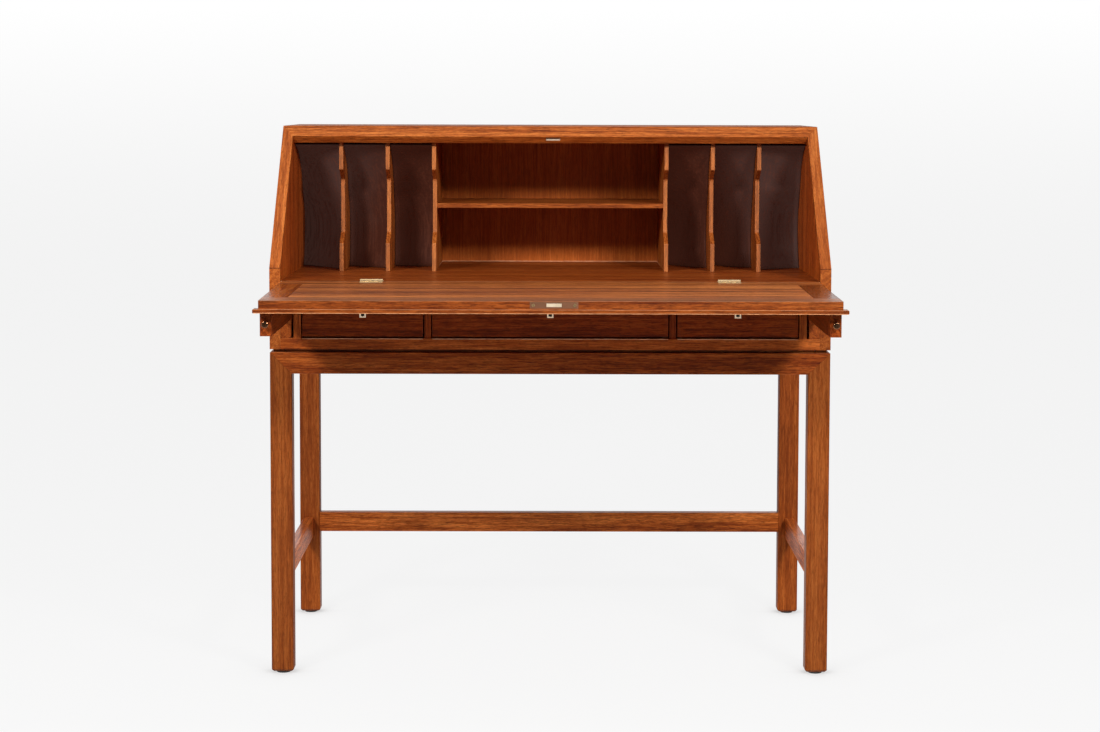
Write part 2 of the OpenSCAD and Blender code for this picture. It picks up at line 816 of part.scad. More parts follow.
// The square bush of the lock's keyhole, in the fall front's outer face
module flap_bush(grow) {
    y = plate_t - flap_len + lock_case_d / 2;
    low = -pin_lift - flap_t - grow;
    block([-bush_w / 2, y - bush_w / 2, low], [bush_w / 2, y + bush_w / 2, low + flap_t / 2 + grow]);
}

module flap_front_rail() {
    color(teak) on_flap() difference() {
        union() {
            flap_board(-flap_half, flap_half, flap_len - front_rail_w, flap_len);
            lip();
        }
        translate([lock_x, 0, 0]) {
            lock_space();
            flap_bush(over);
        }
    }
}

// The bolt's space in the lock
module bolt_space(gap, from, to) {
    middle = -pin_lift - bolt_drop;
    block([-bolt_len / 2 - gap, from, middle - bolt_t / 2 - gap],
          [bolt_len / 2 + gap, to, middle + bolt_t / 2 + gap]);
}

// The mortise lock: face plate, case and keyhole bush
module flap_lock() {
    key_y = plate_t - flap_len + lock_case_d / 2;
    color(steel) on_flap() translate([lock_x, 0, 0]) difference() {
        union() {
            lock_space();
            flap_bush(lock_proud);
        }
        bolt_space(bolt_clear, -flap_len - over, bolt_d - flap_len + 0.5);
        translate([0, key_y, -pin_lift - flap_t - over]) {
            keyhole(flap_t / 2);
            bush_recess();
        }
    }
}

module flap_bolt() {
    color(brass) on_flap() translate([lock_x, 0, 0]) bolt_space(0, 0.2 - flap_len, bolt_d - flap_len);
}

// Where one knuckle of a hinge starts, and how long it is
function knuckle_len() = hinge_len / knuckle_count;

// The knuckles with an even or an odd place in the row, each joined to its leaf
module hinge_leaf(first, outward, bore) {
    reach = outward * (knuckle_r + leaf_w);
    low = -pin_lift - leaf_t;
    translate([-hinge_len / 2, 0, 0]) difference() {
        union() {
            block([0, min(outward * (knuckle_r + 0.3), reach), low],
                  [hinge_len, max(outward * (knuckle_r + 0.3), reach), -pin_lift]);
            for (i = [first : 2 : knuckle_count - 1]) translate([i * knuckle_len(), 0, 0]) {
                width = knuckle_len() - knuckle_gap;
                shift = knuckle_gap / 2;
                translate([shift, 0, 0]) rotate([0, 90, 0]) cylinder(r = knuckle_r, h = width);
                block([shift, min(0, outward * (knuckle_r + 0.5)), max(low, 0.2 - knuckle_r)],
                      [shift + width, max(0, outward * (knuckle_r + 0.5)), -pin_lift]);
            }
        }
        translate([-over, 0, 0]) rotate([0, 90, 0])
            cylinder(r = bore, h = hinge_len + 2 * over);
    }
}

module hinge_case_leaves() {
    color(brass) placed() both_sides() translate([hinge_x, axis_y, axis_z]) hinge_leaf(0, 1, pin_r);
}

module hinge_flap_leaves() {
    color(brass) on_flap() both_sides() translate([hinge_x, 0, 0])
        hinge_leaf(1, -1, pin_r + pin_clear);
}

module hinge_pins() {
    color(brass) placed() both_sides() translate([hinge_x - hinge_len / 2, axis_y, axis_z])
        rotate([0, 90, 0]) cylinder(r = pin_r, h = hinge_len);
}

// A loper, drawn out under the open fall front
module loper(side) {
    color(teak) placed() scale_x(side) difference() {
        block([loper_x - loper_t / 2, -loper_out, loper_z],
              [loper_x + loper_t / 2, loper_len - loper_out, loper_top]);
        translate([loper_x, -loper_out - over, knob_z]) rotate([-90, 0, 0])
            cylinder(r = knob_shank_r, h = knob_shank_len + over);
    }
}

module loper_left() loper(-1);
module loper_right() loper(1);

// A turned brass knob with a neck and a shank that is let into the loper
module loper_knob(side) {
    neck = knob_r * 0.55;
    color(brass) placed() scale_x(side) translate([loper_x, -loper_out, knob_z])
        rotate([90, 0, 0]) rotate_extrude() polygon(rounded(
            [[0, -knob_shank_len], [knob_shank_r, -knob_shank_len], [knob_shank_r, 0],
             [knob_r * 0.8, 0], [neck, knob_out * 0.35], [knob_r, knob_out * 0.6],
             [knob_r, knob_out], [0, knob_out]],
            [0, 0, 0, 0.6, 1.5, 1, 1.5, 0]));
}

module loper_knob_left() loper_knob(-1);
module loper_knob_right() loper_knob(1);

// The dovetails of one drawer side, seen from the side, with their ends towards minus Y
module tails() {
    pitch = (drawer_side_top - front_z) / tail_count;
    for (i = [0 : tail_count - 1]) {
        mid = front_z + pitch * (i + 0.5);
        root = pitch * 0.27;
        polygon([[front_t, mid - root], [front_t - tail_len, mid - root - tail_flare],
                 [front_t - tail_len, mid + root + tail_flare], [front_t, mid + root]]);
    }
}

// The square bush and the case of a drawer's lock, without its keyhole
module drawer_lock_space(x, proud) {
    block([x - bush_w / 2, -proud, keyhole_z - bush_w / 2],
          [x + bush_w / 2, front_t - lock_d + over, keyhole_z + bush_w / 2]);
    block([x - lock_w / 2, front_t - lock_d, keyhole_z - lock_h / 2],
          [x + lock_w / 2, front_t + lock_proud, keyhole_z + lock_h / 2]);
}

// The bottom of a drawer, which lies in the grooves of its front and sides
module drawer_bottom_space(x0, x1) {
    block([x0 + drawer_side_t - drawer_groove, front_t - drawer_groove, bottom_low],
          [x1 - drawer_side_t + drawer_groove, drawer_back_y, bottom_low + drawer_bottom_t]);
}

// A drawer front between two places across the case, with sockets for the sides
module drawer_front(x0, x1) {
    color(teak) placed() difference() {
        block([x0, 0, front_z], [x1, front_t, front_top]);
        along_x(x0 - over, x0 + drawer_side_t) tails();
        along_x(x1 - drawer_side_t, x1 + over) tails();
        drawer_bottom_space(x0, x1);
        drawer_lock_space((x0 + x1) / 2, over);
    }
}

// Both sides of a drawer
module drawer_sides(x0, x1) {
    color(plywood) placed() difference() {
        for (x = [x0, x1 - drawer_side_t]) {
            block([x, front_t, drawer_z], [x + drawer_side_t, drawer_back_y, drawer_side_top]);
            along_x(x, x + drawer_side_t) tails();
        }
        drawer_bottom_space(x0, x1);
    }
}

module drawer_back(x0, x1) {
    color(plywood) placed()
        block([x0 + drawer_side_t, drawer_back_y - drawer_side_t, bottom_low + drawer_bottom_t],
              [x1 - drawer_side_t, drawer_back_y, drawer_side_top]);
}

module drawer_bottom(x0, x1) {
    color(plywood) placed() drawer_bottom_space(x0, x1);
}

module drawer_lock(x0, x1) {
    x = (x0 + x1) / 2;
    color(brass) placed() difference() {
        drawer_lock_space(x, lock_proud);
        translate([x, -over, keyhole_z]) rotate([-90, 0, 0])
            mirror([0, 1, 0]) {
                keyhole(front_t - lock_d + over);
                bush_recess();
            }
    }
}

module drawer_left_front() drawer_front(-side_drawer_out, -side_drawer_in);
module drawer_left_sides() drawer_sides(-side_drawer_out, -side_drawer_in);
module drawer_left_back() drawer_back(-side_drawer_out, -side_drawer_in);
module drawer_left_bottom() drawer_bottom(-side_drawer_out, -side_drawer_in);
module drawer_left_lock() drawer_lock(-side_drawer_out, -side_drawer_in);
module drawer_centre_front() drawer_front(-centre_drawer_out, centre_drawer_out);
module drawer_centre_sides() drawer_sides(-centre_drawer_out, centre_drawer_out);
module drawer_centre_back() drawer_back(-centre_drawer_out, centre_drawer_out);
module drawer_centre_bottom() drawer_bottom(-centre_drawer_out, centre_drawer_out);
module drawer_centre_lock() drawer_lock(-centre_drawer_out, centre_drawer_out);
module drawer_right_front() drawer_front(side_drawer_in, side_drawer_out);
module drawer_right_sides() drawer_sides(side_drawer_in, side_drawer_out);
module drawer_right_back() drawer_back(side_drawer_in, side_drawer_out);
module drawer_right_bottom() drawer_bottom(side_drawer_in, side_drawer_out);
module drawer_right_lock() drawer_lock(side_drawer_in, side_drawer_out);

leg_front_left();
leg_front_right();
leg_back_left();
leg_back_right();
base_rail_front();
base_rail_back();
base_rail_left();
base_rail_right();
stretcher_left();
stretcher_right();
stretcher_back();
foot_glides();
case_spacers();
side_left();
side_right();
top_board();
stop_rail();
strike_plate();
deck();
case_bottom();
back_panel();
loper_post_left();
loper_post_right();
drawer_partition_left();
drawer_partition_right();
loper_bearer_left();
loper_bearer_right();
inner_dividers();
middle_dividers();
outer_dividers();
shelf();
letter_sheets();
flap_panel();
flap_front_rail();
flap_back_rail();
flap_ends();
flap_lock();
flap_bolt();
hinge_case_leaves();
hinge_flap_leaves();
hinge_pins();
loper_left();
loper_right();
loper_knob_left();
loper_knob_right();
drawer_left_front();
drawer_left_sides();
drawer_left_back();
drawer_left_bottom();
drawer_left_lock();
drawer_centre_front();
drawer_centre_sides();
drawer_centre_back();
drawer_centre_bottom();
drawer_centre_lock();
drawer_right_front();
drawer_right_sides();
drawer_right_back();
drawer_right_bottom();
drawer_right_lock();
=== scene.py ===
import math
import random

import bmesh
import bpy
from mathutils import Matrix, Vector


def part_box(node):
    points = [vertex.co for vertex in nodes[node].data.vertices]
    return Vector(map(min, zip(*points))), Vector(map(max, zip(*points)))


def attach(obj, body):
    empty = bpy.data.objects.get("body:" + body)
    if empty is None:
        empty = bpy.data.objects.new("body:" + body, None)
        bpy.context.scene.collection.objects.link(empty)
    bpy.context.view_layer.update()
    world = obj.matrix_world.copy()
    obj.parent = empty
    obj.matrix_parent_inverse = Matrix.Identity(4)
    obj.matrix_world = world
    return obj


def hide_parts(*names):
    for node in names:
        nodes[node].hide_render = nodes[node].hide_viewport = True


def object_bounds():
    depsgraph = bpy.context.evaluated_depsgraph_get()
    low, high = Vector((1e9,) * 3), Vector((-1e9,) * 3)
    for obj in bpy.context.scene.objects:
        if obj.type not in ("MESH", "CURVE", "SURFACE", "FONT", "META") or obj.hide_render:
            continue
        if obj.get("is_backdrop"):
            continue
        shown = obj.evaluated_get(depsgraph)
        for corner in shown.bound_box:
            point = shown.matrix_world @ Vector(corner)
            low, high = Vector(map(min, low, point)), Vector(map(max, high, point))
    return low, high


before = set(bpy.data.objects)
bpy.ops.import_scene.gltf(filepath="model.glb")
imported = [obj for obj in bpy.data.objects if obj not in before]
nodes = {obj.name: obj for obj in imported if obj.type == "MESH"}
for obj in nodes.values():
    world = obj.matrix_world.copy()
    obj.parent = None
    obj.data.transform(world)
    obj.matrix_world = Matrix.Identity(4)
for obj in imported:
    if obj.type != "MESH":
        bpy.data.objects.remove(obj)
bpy.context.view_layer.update()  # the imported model: bodies, nodes, joints and the record
mm = 0.001
caseDepth = 534 * mm
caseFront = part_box("side_left")[1].y - caseDepth  # the front plane of the case
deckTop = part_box("deck")[1].z  # the writing surface inside the case
print("frame loaded:", len(nodes), "nodes")


class Wire:
    # wraps an output socket, so that shader maths reads as plain expressions
    def __init__(self, tree, socket):
        self.tree = tree
        self.socket = socket

    def node(self, kind, settings=None, inputs=None, out=0):
        made = self.tree.nodes.new(kind)
        for key, value in (settings or {}).items():
            if key == "stops":
                ramp = made.color_ramp
                while len(ramp.elements) < len(value):
                    ramp.elements.new(0.5)
                for stop, (place, tone) in zip(ramp.elements, value):
                    stop.position = place
                    stop.color = (*tone, 1)
            else:
                setattr(made, key, value)
        for key, value in (inputs or {}).items():
            if isinstance(value, Wire):
                self.tree.links.new(value.socket, made.inputs[key])
            else:
                made.inputs[key].default_value = value
        return Wire(self.tree, made.outputs[out])

    def maths(self, operation, *values):
        return self.node("ShaderNodeMath", {"operation": operation}, dict(enumerate(values)))

    def __add__(self, other):
        return self.maths("ADD", self, other)

    def __sub__(self, other):
        return self.maths("SUBTRACT", self, other)

    def __rsub__(self, other):
        return self.maths("SUBTRACT", other, self)

    def __mul__(self, other):
        return self.maths("MULTIPLY", self, other)

    __radd__ = __add__
    __rmul__ = __mul__

    def above(self, edge):
        return self.maths("GREATER_THAN", self, edge)

    def below(self, edge):
        return self.maths("LESS_THAN", self, edge)

    def size(self):
        return self.maths("ABSOLUTE", self)

    def least(self, other):
        return self.maths("MINIMUM", self, other)

    def most(self, other):
        return self.maths("MAXIMUM", self, other)

    def ease(self, low, high, bottom=0.0, top=1.0):
        # a smooth step from bottom to top as the value goes from low to high
        settings = {"interpolation_type": "SMOOTHSTEP"}
        inputs = {"Value": self, "From Min": low, "From Max": high, "To Min": bottom, "To Max": top}
        return self.node("ShaderNodeMapRange", settings, inputs)

    def blend(self, first, second):
        # mixes two colours, links or red, green and blue, with this value as the share of the second
        settings = {"data_type": "RGBA", "clamp_factor": True}
        first, second = (c if isinstance(c, Wire) else (*c, 1) for c in (first, second))
        return self.node("ShaderNodeMix", settings, {0: self, 6: first, 7: second}, out=2)

    def between(self, first, second):
        # mixes two plain values in the same way
        return self.node("ShaderNodeMix", {"clamp_factor": True}, {0: self, 2: first, 3: second})

    def parts(self):
        made = self.node("ShaderNodeSeparateXYZ", {}, {0: self})
        return [Wire(self.tree, socket) for socket in made.socket.node.outputs]

    def join(self, x, y, z):
        return self.node("ShaderNodeCombineXYZ", {}, {0: x, 1: y, 2: z})

    def noise(self, scale=1.0, detail=3.0, rough=0.5):
        inputs = {"Vector": self, "Scale": scale, "Detail": detail, "Roughness": rough}
        return self.node("ShaderNodeTexNoise", {}, inputs)

    def bump(self, height, depth, strength=0.5):
        inputs = {"Strength": strength, "Distance": depth, "Height": height}
        return self.node("ShaderNodeBump", {}, inputs)


def newMaterial(name):
    # an empty material with its shader and object coordinates
    material = bpy.data.materials.new(name)
    material.use_nodes = True
    tree = material.node_tree
    shader = next(n for n in tree.nodes if n.type == "BSDF_PRINCIPLED")
    start = tree.nodes.new("ShaderNodeTexCoord")
    return material, shader, Wire(tree, start.outputs["Object"])


def feed(shader, **inputs):
    # sets the shader's sockets; their names come with the blanks left out
    for name, value in inputs.items():
        socket = next(s for s in shader.inputs if s.name.replace(" ", "") == name)
        if isinstance(value, Wire):
            value.tree.links.new(value.socket, socket)
        else:
            socket.default_value = value


# Teak
grainAxes = {  # which object axis runs along the grain, then the two across it
    "x": (0, 1, 2),
    "y": (1, 0, 2),
    "z": (2, 0, 1),
}
slant = math.atan2(241.0, 265.5)  # how far the sides' front edges lean back

teak = {
    "pale": (0.620, 0.186, 0.036),
    "mid": (0.400, 0.094, 0.014),
    "deep": (0.175, 0.030, 0.004),
    "pore": (0.055, 0.008, 0.002),
    "rubbed": (0.700, 0.330, 0.150),  # a painted highlight, where light catches an edge or an upward face
    # a painted highlight for the thin lit lines under the drawers and at the pigeonholes' foot
    "lit": (0.850, 0.470, 0.270),
    "flecks": 0.95,  # how dark the short dashes are
    "pores": 0.60,
    "poreDepth": 0.12 * mm,
    "bandDark": 0.24,  # how much each mark of the grain darkens the board
    "thinDark": 0.26,
    "fibreDark": 0.42,
    "cloudDark": 0.13,
    "roughLow": 0.36,
    "roughHigh": 0.52,
    "sheen": 0.06,  # weight of the film of oil and wax on upright faces
    "polish": 0.12,  # and on faces that look up while the desk is open
    "sheenRough": 0.34,
    "dimShare": 0.75,  # how much a dim end hides the grain
    "jointWide": 0.7 * mm,  # the joint at the foot of a lipping
    "jointShare": 0.8,
}
# Marks of the grain: times a metre along and across it, detail and roughness of their noise, and
# where they start and are full
teakMarks = {
    "fibre": (14, 300, 4.0, 0.72, 0.38, 0.64),
    "cloud": (2.4, 11, 3.0, 0.55, 0.30, 0.70),
    "fleck": (44, 480, 2.0, 0.60, 0.53, 0.60),
    "pores": (95, 1900, 1.0, 0.50, 0.58, 0.64),
}
flapTilt = math.radians(0.88)  # the open fall front droops by this angle
hingeAxis = (caseFront + 1.0 * mm, deckTop + 1.5 * mm)  # its depth and its height
flapReach = 345.74 * mm  # from the hinge's axis to the fall front's far edge


def teakGrain(place, board, lean=0.0):
    # growth bands, fibres, short dashes and open pores of one board
    dice = random.Random(board["seed"])
    axes = place.parts()
    if lean:
        along = axes[1] * math.sin(lean) + axes[2] * math.cos(lean)
        across = axes[1] * math.cos(lean) - axes[2] * math.sin(lean)
        through = axes[0]
    else:
        along, across, through = (axes[i] for i in grainAxes[board["grain"]])
    along = along + dice.uniform(-30, 30)
    across = across + dice.uniform(-30, 30)
    through = through + dice.uniform(-30, 30)
    if board.get("pair"):  # the piece on the right comes from another plank
        other = axes[0].above(0.0)
        along = along + other * 5.3
        across = across + other * 3.1
    figure = board.get("figure", 1.0)
    sway = place.join(along * 1.1, across * 3.0, through * 3.0).noise(1.0, 2.0, 0.5)
    tilt = dice.uniform(0.2, 0.5)
    rings = across * (1 - tilt) + through * tilt + sway * (0.022 * figure)
    band = place.join(along * 0.5, rings * 46, 0.0).noise(1.0, 3.0, 0.6).ease(0.34, 0.68)
    thin = place.join(along * 1.3, rings * 190, through * 8).noise(1.0, 3.0, 0.65).ease(0.38, 0.64)
    marks = []
    for long, wide, detail, rough, low, high in teakMarks.values():
        spots = place.join(along * long, across * wide, through * wide)
        marks.append(spots.noise(1.0, detail, rough).ease(low, high))
    return band, thin, *marks


def teakShades(board):
    # the four shades of a board, from its tone, redness and contrast
    tone, red, contrast = board["tone"], board.get("red", 0.0), board.get("contrast", 1.0)
    shades = {}
    for key in ("pale", "mid", "deep", "pore"):
        mixed = [m + (c - m) * contrast for c, m in zip(teak[key], teak["mid"])]
        shades[key] = [c * tone * k for c, k in zip(mixed, (1, 1 - red * 0.4, 1 - red * 0.7))]
    return shades


def teakFinish(place, board, lean=0.0):
    # colour, roughness and height of one board
    band, thin, fibre, cloud, fleck, pores = teakGrain(place, board, lean)
    shades = teakShades(board)
    dark = band * teak["bandDark"] + thin * teak["thinDark"]
    dark = dark + fibre * teak["fibreDark"] + cloud * teak["cloudDark"]
    if "streak" in board:  # broad streaks, which still show when the board is seen at a low angle
        axes = place.parts()
        streaks = place.join(axes[0] * 0.8 + board["seed"], axes[1] * 38, 0.0).noise(1.0, 2.0, 0.6)
        dark = dark + streaks.ease(0.36, 0.64, -0.5, 0.5) * board["streak"]
    stops = [(0.12, shades["pale"]), (0.50, shades["mid"]), (0.92, shades["deep"])]
    colour = dark.node("ShaderNodeValToRGB", {"stops": stops}, {0: dark})
    colour = (fleck * (0.30 + band * 0.25) * teak["flecks"]).blend(colour, shades["pore"])
    colour = (pores * teak["pores"]).blend(colour, shades["pore"])
    rough = cloud.ease(0, 1, teak["roughLow"], teak["roughHigh"]) + pores * 0.12
    height = 1 - pores * 0.7 - fleck * 0.5 - fibre * 0.15
    return colour, rough, height


def flapDepths(place):
    # how far out of the hinge axis a point of the open fall front lies, and how far above it
    x, y, z = place.parts()
    y, z = y - hingeAxis[0], z - hingeAxis[1]
    out = y * -math.cos(flapTilt) - z * math.sin(flapTilt)
    return out, z * math.cos(flapTilt) - y * math.sin(flapTilt)


def drawLine(place, colour, line):
    # a thin line along an edge or a joint, across the axis x, y, z or the fall front's own height w;
    # "from" and "to" are the depths and "spans" the distances from the middle that it keeps between
    axes = place.parts()
    axis = line["axis"]
    if axis == "w":
        out, value = flapDepths(place)
        limit = out.above(flapReach - 2 * mm)
    else:
        value, limit = axes["xyz".index(axis)], 1.0
        if axis == "x":
            value = value.size()
    if "from" in line:
        limit = axes[1].above(line["from"]) * axes[1].below(line["to"])
    if "spans" in line:
        side = axes[0].size()
        limit = limit * sum(side.above(near) * side.below(far) for near, far in line["spans"])
    patchy = place.noise(90, 2.0).ease(0.3, 0.6, 0.55, 1.0)
    mask = value.above(line["low"]) * value.below(line["low"] + line["wide"]) * patchy * limit
    return (mask * line["share"]).blend(colour, teak[line["shade"]])


def teakMaterial(name, board, lipping=None):
    # oiled teak; a lipping is a strip along the slanted front edge with grain of its own
    material, shader, place = newMaterial(name)
    colour, rough, height = teakFinish(place, board)
    axes = place.parts()
    if "dim" in board:  # the board at the right end is darker
        shade = [board["dim"] * c for c in teak["mid"]]
        colour = (axes[0].above(0.0) * teak["dimShare"]).blend(colour, shade)
    for line in board.get("lines", ()):
        colour = drawLine(place, colour, line)
    facing = Wire(place.tree, place.socket.node.outputs["Normal"]).parts()
    if "front" in board:  # the front edge is painted pale, a painted highlight where the lamps in front catch it
        colour = (0 - facing[1]).ease(0.5, 0.9, 0.0, board["front"]).blend(colour, teak["rubbed"])
    if "worn" in board:  # and the upward face is painted paler, a painted sheen
        colour = facing[2].ease(0.5, 0.9, 0.0, board["worn"]).blend(colour, teak["rubbed"])
    if lipping:
        edge, rough2, height2 = teakFinish(place, lipping, slant)
        rise = (axes[2] - lipping["knee"]).most(0.0)
        strip = (axes[1] - rise * math.tan(slant)).below(caseFront + lipping["wide"])
        colour = strip.blend(colour, edge)
        joint = strip * (axes[2] - lipping["knee"]).size().below(teak["jointWide"])
        colour = (joint * teak["jointShare"]).blend(colour, teak["pore"])
        rough = strip.between(rough, rough2)
        height = strip.between(height, height2)
    # the film of wax shows most on faces that look up, where hands polish it
    streaks = height.ease(0.2, 1.0, 0.45, 1.0)
    film = facing[2].ease(0.5, 0.95, teak["sheen"], board.get("polish", teak["polish"])) * streaks
    feed(shader, BaseColor=colour, Roughness=rough, Normal=place.bump(height, teak["poreDepth"]),
         SpecularIORLevel=0.10, CoatWeight=film, CoatRoughness=board.get("filmRough", teak["sheenRough"]))
    return material


# Brass
brass = {
    "bright": (0.78, 0.56, 0.27),
    "dull": (0.46, 0.30, 0.13),
    "dirt": (0.055, 0.035, 0.018),
    # a painted shade for hollows
    "soot": (0.006, 0.004, 0.003),
    "bronze": (0.240, 0.098, 0.050),  # the lock plate's brown skin
    "pale": (0.900, 0.780, 0.620),  # where it's rubbed nearly white
}


def brassMaterial(name, seed, tone=1.0, age=0.3, brush="x", rough=0.28, hollow=None, dull=0.0,
                  skin=0.0, pale=0.0, paintedGlint=0.0):
    # polished or aged brass, with fine brushing, finger marks and dirt
    material, shader, place = newMaterial(name)
    dice = random.Random(seed)
    axes = place.parts()
    along, across, through = (axes[i] for i in grainAxes[brush])
    lines = place.join(along * 60 + dice.uniform(0, 9), across * 2600, through * 2600).noise(1.0, 2.0)
    spots = place.noise(210, 3.0, 0.6).ease(0.5, 0.72)
    cloud = place.noise(60, 2.0, 0.5).ease(0.35, 0.7)
    bright = [c * tone for c in brass["bright"]]
    dark = [c * tone for c in brass["dull"]]
    colour = (cloud * (0.25 + age * 0.75)).blend(bright, dark)
    colour = (spots * age).blend(colour, brass["dirt"])
    for share, shade in ((skin, "bronze"), (pale, "pale")):
        if share:
            colour = (cloud * 0.1 + share).blend(colour, brass[shade])
    metal = 1.0 - dull - spots * (age * 0.6)  # a matt, brushed face scatters more light
    if hollow:  # painted shade in the keyhole's recess and along the hinge's joint
        axis, near, far = hollow
        deep = axes["xyz".index(axis)].above(near) * axes["xyz".index(axis)].below(far)
        colour = (deep * 0.98).blend(colour, brass["soot"])
        metal = metal * (1 - deep)
    if paintedGlint:  # a painted glow: the face glows, standing in for the bright floor in front that it reflects in the fall front's shade
        feed(shader, EmissionColor=colour, EmissionStrength=paintedGlint)
    feed(shader, BaseColor=colour, Metallic=metal, Normal=place.bump(lines, 0.00002, 0.25),
         Roughness=cloud.ease(0, 1, rough, rough + 0.16) + spots * (age * 0.3))
    return material


# The dark sheets that stand in for the deep shade at the back of the pigeonholes, the glides and the
# drawers' inner wood
shadeCard = {
    "brown": (0.042, 0.0112, 0.0060),
    # a painted reflection of the white room, bluer than the card itself
    "blue": (0.044, 0.0250, 0.0225),
    "line": (0.180, 0.060, 0.034),
    "scuff": (0.085, 0.046, 0.036),
    "bounce": (0.0230, 0.0068, 0.0042),  # a painted glow, standing in for light that bounces about in the pigeonholes
    "outerBounce": (0.0290, 0.0125, 0.0097),
}


def shadeCardMaterial(name):
    # a dark card that stands in for the deep shade at the back of the pigeonholes, with fine upright
    # lines and faint scuffs; bluer at the outer ends and the top as a painted reflection, and with a
    # faint painted glow
    material, shader, place = newMaterial(name)
    x, y, z = place.parts()
    lines = place.join(x * 190, y * 190, z * 4).noise(1.0, 3.0, 0.7).ease(0.46, 0.64)
    weave = place.join(x * 150, y * 150, z * 1100).noise(1.0, 1.0).ease(0.4, 0.7)
    scuff = place.noise(16, 4.0, 0.6).ease(0.48, 0.78)
    # the outer ends and the top are painted bluer, a painted reflection
    outer = (x.size() + (z - deckTop) * 0.4).ease(0.37, 0.50)
    colour = outer.blend(shadeCard["brown"], shadeCard["blue"])
    colour = (lines * 0.34 + weave * 0.10).blend(colour, shadeCard["line"])
    colour = (scuff * 0.25).blend(colour, shadeCard["scuff"])
    # the sheets glow faintly: painted light for the light that bounces about in the pigeonholes
    bounce = outer.blend(shadeCard["bounce"], shadeCard["outerBounce"])
    feed(shader, BaseColor=colour, Roughness=scuff.ease(0, 1, 0.55, 0.68),
         Normal=place.bump(lines + weave * 0.5, 0.00006, 0.3), SpecularIORLevel=0.07,
         EmissionColor=(lines * 0.4).blend(bounce, (0, 0, 0)), EmissionStrength=1.0)
    return material


glide = {
    "black": (0.012, 0.010, 0.009),
    "scuff": (0.060, 0.052, 0.045),
}


def glideMaterial(name):
    # black glides, scuffed by the floor
    material, shader, place = newMaterial(name)
    grit = place.noise(420, 3.0, 0.6).ease(0.45, 0.7)
    low = place.parts()[2].ease(0.0, 0.002, 1.0, 0.0)
    colour = (grit * 0.5 + low * 0.4).blend(glide["black"], glide["scuff"])
    feed(shader, BaseColor=colour, Roughness=grit.ease(0, 1, 0.45, 0.7),
         Normal=place.bump(grit, 0.0001, 0.4))
    return material


drawerWood = {
    "pale": (0.57, 0.33, 0.145),
    "warm": (0.42, 0.20, 0.075),
    "fibre": (0.25, 0.12, 0.05),
    "stain": (0.22, 0.11, 0.05),
}


def drawerWoodMaterial(name, grain, seed):
    # pale waxed wood for the drawers' sides, backs and bottoms
    material, shader, place = newMaterial(name)
    dice = random.Random(seed)
    axes = place.parts()
    along, across, through = (axes[i] for i in grainAxes[grain])
    along = along + dice.uniform(-20, 20)
    rings = across + through * 0.4 + place.join(along * 0.8, across * 2, through * 2).noise() * 0.12
    band = place.join(along * 0.4, rings * 60, 0.0).noise(1.0, 4.0, 0.6).ease(0.38, 0.66)
    fibre = place.join(along * 10, across * 700, through * 700).noise(1.0, 2.0).ease(0.35, 0.7)
    stain = place.noise(5, 3.0).ease(0.4, 0.75)
    colour = (band * 0.6).blend(drawerWood["pale"], drawerWood["warm"])
    colour = (fibre * 0.35).blend(colour, drawerWood["fibre"])
    colour = (stain * 0.3).blend(colour, drawerWood["stain"])
    feed(shader, BaseColor=colour, Roughness=fibre.ease(0, 1, 0.48, 0.62),
         Normal=place.bump(fibre, 0.0001, 0.3))
    return material


print("materials ready")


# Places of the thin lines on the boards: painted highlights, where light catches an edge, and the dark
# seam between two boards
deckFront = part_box("deck")[0].y
lipLow = -24.0 * mm  # the fall front's underside, below the hinge axis
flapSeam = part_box("flap_panel")[1].x
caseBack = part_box("back_panel")[0].y


def edgeLine(axis, low, wide, share, shade="rubbed", **limits):
    # what drawLine reads; the width is given in millimetres
    return {"axis": axis, "low": low, "wide": wide * mm, "share": share, "shade": shade, **limits}


# painted highlights along the fall front's edges
flapLines = [
    edgeLine("w", lipLow, 1.3, 0.75),
    edgeLine("w", lipLow + 6.6 * mm, 0.9, 0.45),
    edgeLine("w", -2.6 * mm, 1.0, 0.30),
]
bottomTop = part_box("case_bottom")[1].z
drawerSpans = [(-1.0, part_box("drawer_centre_front")[1].x)]  # a low limit that all places pass
drawerSpans += [(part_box("drawer_right_front")[0].x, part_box("drawer_right_front")[1].x)]
bottomLimits = {"from": caseFront - 1 * mm, "to": caseFront + 3 * mm, "spans": drawerSpans}
# a painted highlight along the case bottom's front edge, under the drawers
bottomLines = [edgeLine("z", bottomTop - 1.6 * mm, 1.9, 1.0, "lit", **bottomLimits)]
# and a painted highlight along the foot of the back panel and the inner dividers
footLimits = {"from": caseBack - 130 * mm, "to": caseBack + 0.5 * mm}
footLines = [edgeLine("z", deckTop, 1.5, 0.7, "lit", **footLimits)]
# a painted highlight along the deck's front edge
deckLines = [edgeLine("y", deckFront, 1.8, 0.75)]
seamLines = [edgeLine("x", flapSeam, 0.9, 0.9, "pore")]
